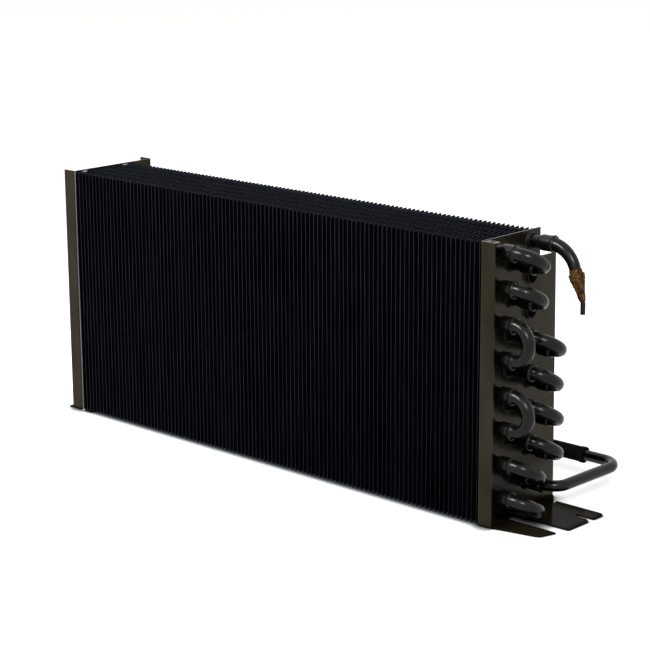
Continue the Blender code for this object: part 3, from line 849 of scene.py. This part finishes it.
def right_foot_outlines():
    """Outline of the right foot from above, and its pilot hole: out from the plate, and back."""
    root = -SHEET / 2
    slot_end = RIGHT_FOOT_REACH - SLOT_LENGTH
    slot_front = SLOT_BACK - SLOT_WIDTH / 2
    slot_rear = SLOT_BACK + SLOT_WIDTH / 2
    gap_back = FRONT_TONGUE_BACK + GAP_WIDTH
    tongue_front = FRONT_TONGUE_FRONT + FRONT_TONGUE_TAPER
    slot_rounding = SLOT_WIDTH * SLOT_ROUNDING
    corners = (
        ((root, FOLD_RADIUS + SHEET, 0), 0),
        ((FRONT_TONGUE_FRONT, FRONT_TONGUE_FRONT, 0), 0),
        ((FRONT_TONGUE_SHOULDER, FRONT_TONGUE_FRONT, 0), 0),
        ((FRONT_TONGUE_REACH - TONGUE_CORNER, tongue_front, 0), TONGUE_CORNER),
        ((FRONT_TONGUE_REACH, FRONT_TONGUE_BACK, 0), 0),
        ((GAP_ROOT_FRONT, FRONT_TONGUE_BACK, 0), 0),
        ((GAP_ROOT_BACK, gap_back, 0), 0),
        ((RIGHT_FOOT_REACH, gap_back, 0), 0),
        ((RIGHT_FOOT_REACH, slot_front - SLOT_FLARE_WIDTH, 0), 0),
        ((RIGHT_FOOT_REACH - SLOT_FLARE_LENGTH, slot_front, 0), 0),
        ((slot_end, slot_front, 0), slot_rounding),
        ((slot_end, slot_rear, 0), slot_rounding),
        ((RIGHT_FOOT_REACH, slot_rear, 0), 0),
        ((RIGHT_FOOT_REACH, RIGHT_FOOT_BACK, 0), TONGUE_CORNER),
        ((FOOT_HEEL_OUT, RIGHT_FOOT_BACK, 0), 0),
        ((FOOT_HEEL_ROOT, FOOT_HEEL_BACK, 0), 0),
        ((SHEET / 2, RIGHT_PLATE_FOOT_DEPTH, 0), 0),
        ((root, RIGHT_PLATE_FOOT_DEPTH, 0), 0))
    return [round_corners(corners, FOLD_STEP), circle(PILOT_OUT, PILOT_BACK, PILOT_RADIUS, HOLE_SIDES)]


def tab_outlines():
    """Outline of the flange's tab from above, and its hole."""
    corners = (((TAB_START, SHEET / 2, 0), 0), ((FLANGE_WIDTH, SHEET / 2, 0), 0),
               ((FLANGE_WIDTH, TAB_DEPTH, 0), TAB_CORNER), ((TAB_START, TAB_DEPTH, 0), 0))
    hole = circle(TAB_HOLE_OUT, TAB_HOLE_BACK, TAB_HOLE_RADIUS, HOLE_SIDES)
    return [round_corners(corners, FOLD_STEP), hole]


def plate_collars(face_x, height):
    """Flared collars round the tube holes, standing out along X from a plate's face."""
    inner = TUBE_RADIUS + HOLE_CLEARANCE
    outer = inner + COLLAR_WALL
    flared = outer + COLLAR_FLARE
    flare_height = min(COLLAR_FLARE, height * COLLAR_FLARE_SHARE)
    profile = [(-COLLAR_SINK, inner), (-COLLAR_SINK, flared), (COLLAR_RIM, flared)]
    for step in range(1, COLLAR_STEPS + 1):
        angle = math.pi / 2 * step / COLLAR_STEPS
        radius = outer + COLLAR_FLARE * (1 - math.sin(angle))
        profile.append((flare_height * (1 - math.cos(angle)), radius))
    profile += [(height - COLLAR_ROUNDING, outer), (height, outer - COLLAR_ROUNDING),
                (height, inner + COLLAR_ROUNDING / 2), (height - COLLAR_ROUNDING / 2, inner)]
    places = [Vector((face_x, place.y, place.z)) for place in all_tube_places()]
    return mesh_of([lathe(place, profile, HOLE_SIDES) for place in places])


def build_right_plate(material, collar_material):
    """Right end plate: front flange with a tab, collared holes, notched top, two-tongued foot."""
    middle = SHEET / 2
    fold = (((FLANGE_WIDTH, middle, 0), 0), ((-middle, middle, 0), FOLD_RADIUS),
            ((-middle, RIGHT_PLATE_FOOT_DEPTH + middle, 0), 0))
    notch_front = PLATE_DEPTH - NOTCH_DEPTH
    notch_bottom = PLATE_HEIGHT - NOTCH_HEIGHT
    above = PLATE_HEIGHT + CUT_PAST
    behind = RIGHT_PLATE_FOOT_DEPTH + CUT_PAST
    trim = ((notch_front, above), (notch_front, notch_bottom), (PLATE_DEPTH, notch_bottom),
            (RIGHT_PLATE_FOOT_DEPTH, 0), (RIGHT_PLATE_FOOT_DEPTH, -CUT_PAST), (behind, -CUT_PAST),
            (behind, above))
    foot_top = SHEET + FOOT_SLIT
    at_base = Matrix.Translation((RIGHT, 0, 0))
    steps = [
        ("DIFFERENCE", sheet_mesh((trim,), 2 * (SHEET + CUT_PAST), at_base @ CROSSWISE)),
        ("DIFFERENCE", box_mesh((RIGHT - SHEET - CUT_PAST, -CUT_PAST, -CUT_PAST),
                                (RIGHT + FLANGE_WIDTH + CUT_PAST, FOLD_RADIUS + middle, foot_top))),
        ("DIFFERENCE", box_mesh((RIGHT - SHEET - CUT_PAST, FOOT_HEEL_BACK, -CUT_PAST),
                                (RIGHT + CUT_PAST, behind, foot_top))),
        ("DIFFERENCE", hole_rods(RIGHT, TUBE_RADIUS + HOLE_CLEARANCE)),
        ("UNION", sheet_mesh(right_foot_outlines(), SHEET, Matrix.Translation((RIGHT, 0, middle)))),
        ("UNION", sheet_mesh(tab_outlines(), SHEET,
                             Matrix.Translation((RIGHT, 0, PLATE_HEIGHT - TAB_DROP - middle)))),
    ]
    plate = add_piece("right_plate", combined(folded_plate(fold, RIGHT), steps), material,
                      ("end_plate_right",))
    round_edges(plate)
    add_piece("right_plate_collars", plate_collars(RIGHT, COLLAR_HEIGHT), collar_material,
              ("end_plate_right",))


def build_left_plate(material, collar_material):
    """Left end plate: a channel with both flanges outward, on a plain foot."""
    middle = SHEET / 2
    rear = PLATE_DEPTH - middle
    fold = (((-FLANGE_WIDTH, middle, 0), 0), ((middle, middle, 0), FOLD_RADIUS),
            ((middle, rear, 0), FOLD_RADIUS), ((-FLANGE_WIDTH, rear, 0), 0))
    foot_top = SHEET + FOOT_SLIT
    outline = ((-LEFT_FOOT_OUT, 0), (LEFT_FOOT_IN, 0), (LEFT_FOOT_IN, LEFT_FOOT_BACK),
               (-LEFT_FOOT_OUT, LEFT_FOOT_BACK))
    low_x, high_x = LEFT - FLANGE_WIDTH - CUT_PAST, LEFT + SHEET + CUT_PAST
    steps = [
        ("DIFFERENCE", box_mesh((low_x, -CUT_PAST, -CUT_PAST),
                                (high_x, FOLD_RADIUS + middle, foot_top))),
        ("DIFFERENCE", box_mesh((low_x, rear - FOLD_RADIUS, -CUT_PAST),
                                (high_x, PLATE_DEPTH + CUT_PAST, foot_top))),
        ("DIFFERENCE", hole_rods(LEFT, TUBE_RADIUS + HOLE_CLEARANCE)),
        ("UNION", sheet_mesh((outline,), SHEET, Matrix.Translation((LEFT, 0, middle)))),
    ]
    plate = add_piece("left_plate", combined(folded_plate(fold, LEFT), steps), material,
                      ("end_plate_left",))
    round_edges(plate)
    add_piece("left_plate_collars", plate_collars(LEFT + SHEET, LEFT_COLLAR_HEIGHT), collar_material,
              ("end_plate_left",))


def bell_profile():
    """Distances in from a bell's lip, with the radius at each: rolled lip, cup, cone, tube."""
    made = [(distance, BELL_RADIUS + LIP_FLARE * share) for distance, share in LIP_PROFILE]
    for step in range(BELL_CONE_STEPS + 1):
        share = step / BELL_CONE_STEPS
        narrowed = (BELL_RADIUS - TUBE_RADIUS) * (3 * share ** 2 - 2 * share ** 3)
        made.append((BELL_LENGTH + BELL_CONE * share, BELL_RADIUS - narrowed))
    return made


def lip_place(name):
    """Centre of the mouth of a tube's bell."""
    short = OUTLET_SHORT if name == OUTLET else 0.0
    return tube_place(name, RIGHT + BELL_LIP - short)


def build_hairpins(material):
    """Long U tubes, bent at the left, with a bell at both right ends."""
    bell = bell_profile()
    for pair in HAIRPINS:
        first, last = (lip_place(name) for name in pair.split())
        arc = half_turn(pair, LEFT - HAIRPIN_LEAD, -1)
        into = [first - Vector((distance, 0, 0)) for distance, radius in bell]
        away = [last - Vector((distance, 0, 0)) for distance, radius in reversed(bell)]
        widths = [radius for distance, radius in bell]
        radii = widths + [TUBE_RADIUS] * len(arc) + widths[::-1]
        unbent = [1.0] * len(bell)
        across = unbent + arc_across(len(arc)) + unbent
        normal = (arc[-1] - arc[0]).cross(Vector((1, 0, 0)))
        name = "hairpin_" + pair.replace(" ", "_")
        mesh = mesh_of([sweep(into + arc + away, radii, normal, TUBE_WALL, across=across)])
        add_piece(name + "_tube", mesh, material, (name,))


def arc_across(count):
    """How far a tube's section is narrowed at each point of a bend: most in its middle part."""
    made = []
    for i in range(count):
        share = i / (count - 1)
        ease = min(1.0, OVAL_EASE * share, OVAL_EASE * (1 - share))
        made.append(1.0 - (1.0 - OVAL_ACROSS) * ease)
    return made


def build_return_bends(material):
    """Short U tubes that join two bells."""
    seat = RIGHT + BELL_LIP - SOCKET_DEPTH
    for pair in RETURN_BENDS:
        arc = half_turn(pair, RIGHT + BELL_LIP + RETURN_LEAD, BEND_REACH.get(pair, 1.0))
        path = [Vector((seat, arc[0].y, arc[0].z))] + arc + [Vector((seat, arc[-1].y, arc[-1].z))]
        normal = (arc[-1] - arc[0]).cross(Vector((1, 0, 0)))
        across = [1.0] + arc_across(len(arc)) + [1.0]
        name = "return_bend_" + pair.replace(" ", "_")
        mesh = mesh_of([sweep(path, [TUBE_RADIUS] * len(path), normal, TUBE_WALL, across=across)])
        add_piece(name + "_tube", mesh, material, (name,))


def build_joints(material):
    """Coated braze fillets in the bells' mouths."""
    draws = random.Random(JOINT_SEED)
    rim = BELL_RADIUS - JOINT_LIP_GAP
    core = TUBE_RADIUS - JOINT_OVERLAP
    shapes = []
    for name in TUBES:
        length = draws.uniform(*JOINT_SHARES) * JOINT_LENGTH
        profile = [(-JOINT_SINK, core), (-JOINT_SINK, rim), (JOINT_LIP_RISE, rim)]
        profile += [(length * share, TUBE_RADIUS + height) for share, height in JOINT_PROFILE]
        profile.append((length, core))
        shapes.append(lathe(lip_place(name), profile, TUBE_SIDES, JOINT_STRAY, draws))
    add_piece("joints", mesh_of(shapes), material, ())


def socket_pipe(lip, bend, normal, swell=0.0):
    """Pipe that follows a bend, with its start swaged to a tube's width to seat in a bell.

    The swell is how much stouter the pipe is at the bend's start than at its end.
    """
    seat = lip - Vector((SOCKET_DEPTH, 0, 0))
    swage_start = lip - Vector((SWAGE_START, 0, 0))
    swage_end = lip - Vector((SWAGE_END, 0, 0))
    path = [seat, swage_start, swage_end] + bend
    stout = [PIPE_RADIUS + swell * (1 - i / (len(bend) - 1)) for i in range(len(bend))]
    radii = [TUBE_RADIUS] * 2 + [stout[0] + SWAGE_STEP] + stout
    return sweep(path, radii, normal, TUBE_WALL)


def build_inlet(tube, braze):
    """Elbow out of the first bell, the lumpy brazed reducer on it and the capillary stub below."""
    down = Vector((math.cos(ELBOW_TURN), 0, -math.sin(ELBOW_TURN)))
    lip = tube_place(INLET, RIGHT + BELL_LIP)
    setback = ELBOW_RADIUS * math.tan(ELBOW_TURN / 2)
    corner = lip + Vector((ELBOW_START + setback, 0, 0))
    elbow_end = corner + down * (setback + ELBOW_TAIL)
    bend = round_corners(((lip, 0), (corner, ELBOW_RADIUS), (elbow_end, 0)), ARC_STEP)[1:]
    normal = (0, 1, 0)
    elbow = mesh_of([socket_pipe(lip, bend, normal, ELBOW_SWELL)])
    add_piece("inlet_elbow_tube", elbow, tube, ("inlet_elbow",))

    start = elbow_end - down * REDUCER_OVERLAP
    path = [start + down * distance for distance, radius in REDUCER_PROFILE]
    radii = [radius for distance, radius in REDUCER_PROFILE]
    points, faces = sweep(path, radii, normal, REDUCER_WALL)
    reducer = rough_mesh(points, faces, path)
    add_piece("inlet_reducer_braze", reducer, braze, ("inlet_reducer",))

    capillary_start = start + down * (REDUCER_OVERLAP + CAPILLARY_INSET)
    bend = start + down * (REDUCER_LENGTH + CAPILLARY_BEND / 2)
    end = bend - Vector((0, 0, CAPILLARY_DROP))
    path = round_corners(((capillary_start, 0), (bend, CAPILLARY_BEND), (end, 0)), ARC_STEP)
    stub = mesh_of([sweep(path, [CAPILLARY_RADIUS] * len(path), normal, CAPILLARY_WALL)])
    add_piece("capillary_stub_tube", stub, tube, ("capillary_stub",))


def rough_mesh(points, faces, path):
    """Mesh of a brazed sleeve, subdivided and with lumps of braze metal and flux on its outside."""
    mesh = mesh_of([(points, faces)])
    bm = bmesh.new()
    bm.from_mesh(mesh)
    bmesh.ops.subdivide_edges(bm, edges=bm.edges, cuts=1, use_grid_fill=True)
    axis = (path[-1] - path[0]).normalized()
    for vertex in bm.verts:
        away = vertex.co - path[0]
        away -= axis * away.dot(axis)
        coarse, fine = (noise_field.noise(vertex.co * scale) for scale in LUMP_SCALES)
        vertex.co += away.normalized() * max(-LUMP_DIP, coarse + fine / 2) * LUMP_HEIGHT
    bm.to_mesh(mesh)
    bm.free()
    mesh.shade_smooth()
    return mesh


def build_outlet(tube, rubber):
    """Pipe from the last bell round behind the right plate, and the rubber sleeve on its tail."""
    lip = lip_place(OUTLET)
    corner_out = lip + Vector((LOOP_START + LOOP_BEND + OUTLET_SHORT, 0, 0))
    corner_back = Vector((corner_out.x + LOOP_SPLAY, LOOP_BACK, lip.z))
    tail = corner_back - Vector((LOOP_TAIL, 0, 0))
    bend = round_corners(((lip, 0), (corner_out, LOOP_BEND + OUTLET_SHORT), (corner_back, LOOP_CORNER),
                          (tail, 0)), ARC_STEP)[1:]
    normal = (0, 0, 1)
    pipe = mesh_of([socket_pipe(lip, bend, normal)])
    add_piece("outlet_pipe_tube", pipe, tube, ("outlet_pipe",))

    sleeve_start = corner_back - Vector((SLEEVE_OFFSET, 0, 0))
    radius = PIPE_RADIUS + SLEEVE_CLEARANCE + SLEEVE_WALL
    radii = [radius + swell for distance, swell in SLEEVE_PROFILE]
    path = [sleeve_start - Vector((distance, 0, 0)) for distance, swell in SLEEVE_PROFILE]
    skin = mesh_of([sweep(path, radii, normal, SLEEVE_WALL)])
    add_piece("rubber_sleeve_skin", skin, rubber, ("rubber_sleeve",))


def seen_by(tree, *kinds):
    """1 for rays of the given kinds and 0 for others."""
    rays = tree.nodes.new("ShaderNodeLightPath")
    seen = rays.outputs[kinds[0]]
    for kind in kinds[1:]:
        seen = worked_out(tree, "MAXIMUM", seen, rays.outputs[kind])
    return seen


def mixed(tree, share, first, second):
    """Shader that goes from one shader to another by a share."""
    made = tree.nodes.new("ShaderNodeMixShader")
    tree.links.new(share, made.inputs["Fac"])
    tree.links.new(first, made.inputs[1])
    tree.links.new(second, made.inputs[2])
    return made.outputs["Shader"]


def build_world():
    """Soft even light, and a white background."""
    world = bpy.data.worlds.new("studio")
    bpy.context.scene.world = world
    world.use_nodes = True
    tree = world.node_tree
    plain = tree.nodes["Background"]
    plain.inputs["Color"].default_value = (*SKY_COLOUR, 1.0)
    plain.inputs["Strength"].default_value = SKY_STRENGTH
    white = tree.nodes.new("ShaderNodeBackground")
    white.inputs["Color"].default_value = (1.0, 1.0, 1.0, 1.0)
    white.inputs["Strength"].default_value = 1.0
    seen = seen_by(tree, "Is Camera Ray", "Is Glossy Ray", "Is Transmission Ray")
    shown = mixed(tree, seen, plain.outputs["Background"], white.outputs["Background"])
    tree.links.new(shown, tree.nodes["World Output"].inputs["Surface"])


def matt(tree, tone):
    """Matt grey shader."""
    made = tree.nodes.new("ShaderNodeBsdfDiffuse")
    made.inputs["Color"].default_value = (tone, tone, tone, 1.0)
    return made.outputs["BSDF"]


def glow(tree, strength):
    """White shader that gives off light."""
    made = tree.nodes.new("ShaderNodeEmission")
    made.inputs["Strength"].default_value = strength
    return made.outputs["Emission"]


def build_floor():
    """White floor that keeps the coil's soft shadow, with painted shade deepest in the narrow gaps by
    its feet.
    """
    bm = bmesh.new()
    bmesh.ops.create_grid(bm, x_segments=1, y_segments=1, size=FLOOR_HALF)
    floor = new_object("floor", finished_mesh("floor", bm))
    floor.location.z = -FLOOR_DROP
    material = bpy.data.materials.new("floor_white")
    material.use_nodes = True
    tree = material.node_tree
    tree.nodes.remove(tree.nodes["Principled BSDF"])
    lit = tree.nodes.new("ShaderNodeAddShader")
    tree.links.new(matt(tree, FLOOR_TONE_SEEN), lit.inputs[0])
    tree.links.new(glow(tree, FLOOR_GLOW), lit.inputs[1])
    # Painted shade: an occlusion measure darkens the floor, and its reflection, in narrow gaps.
    gap_occlusion = tree.nodes.new("ShaderNodeAmbientOcclusion")
    gap_occlusion.inputs["Distance"].default_value = FLOOR_PAINTED_SHADE_REACH
    openness = worked_out(tree, "POWER", gap_occlusion.outputs["AO"], FLOOR_PAINTED_SHADE_POWER)
    black = glow(tree, 0.0)
    shaded = mixed(tree, openness, black, lit.outputs["Shader"])
    white = mixed(tree, openness, black, glow(tree, 1.0))
    in_gloss = seen_by(tree, "Is Glossy Ray", "Is Transmission Ray")
    mirrored = mixed(tree, in_gloss, matt(tree, FLOOR_TONE), white)
    shown = mixed(tree, seen_by(tree, "Is Camera Ray"), mirrored, shaded)
    tree.links.new(shown, tree.nodes["Material Output"].inputs["Surface"])
    floor.data.materials.append(material)


def add_softbox(name, place, aim, size, power, colour):
    """Rectangular area light that looks at a point."""
    data = bpy.data.lights.new(name, "AREA")
    data.color = colour
    data.shape = "RECTANGLE"
    data.size, data.size_y = size
    data.energy = power
    light = new_object(name, data)
    light.location = place
    light.rotation_mode = "QUATERNION"
    light.rotation_quaternion = (Vector(aim) - Vector(place)).to_track_quat("-Z", "Y")


def build_camera():
    """Camera at the place and angle fitted to the photograph."""
    data = bpy.data.cameras.new("camera")
    data.sensor_width = SENSOR_WIDTH
    data.lens = FOCAL_PIXELS * SENSOR_WIDTH / FRAME_PIXELS
    camera = new_object("camera", data)
    turn, rise = CAMERA_AZIMUTH, CAMERA_ELEVATION
    back = Vector((math.sin(turn) * math.cos(rise), -math.cos(turn) * math.cos(rise), math.sin(rise)))
    level = Vector((math.cos(turn), math.sin(turn), 0))
    upright = back.cross(level)
    right = level * math.cos(CAMERA_ROLL) + upright * math.sin(CAMERA_ROLL)
    up = upright * math.cos(CAMERA_ROLL) - level * math.sin(CAMERA_ROLL)
    axes = Matrix((right, up, back)).transposed()
    camera.matrix_world = Matrix.Translation(CAMERA_PLACE) @ axes.to_4x4()
    bpy.context.scene.camera = camera


def build_scene():
    """Camera, light and stage, then every piece of the coil."""
    build_camera()
    build_world()
    build_floor()
    for name, values in SOFTBOXES.items():
        add_softbox(name, *values)
    plate = plate_material()
    tube = tube_material("tube_black", smoothest=0.21, roughest=0.29)
    build_fins(fin_material())
    build_right_plate(plate, tube_material("collar_black", smoothest=0.50, roughest=0.60))
    build_left_plate(plate, collar_top_highlight_material())
    build_hairpins(tube)
    build_return_bends(tube)
    build_joints(tube)
    build_inlet(tube, braze_material())
    build_outlet(tube, rubber_material())
    bpy.context.scene.view_settings.view_transform = "Standard"


build_scene()
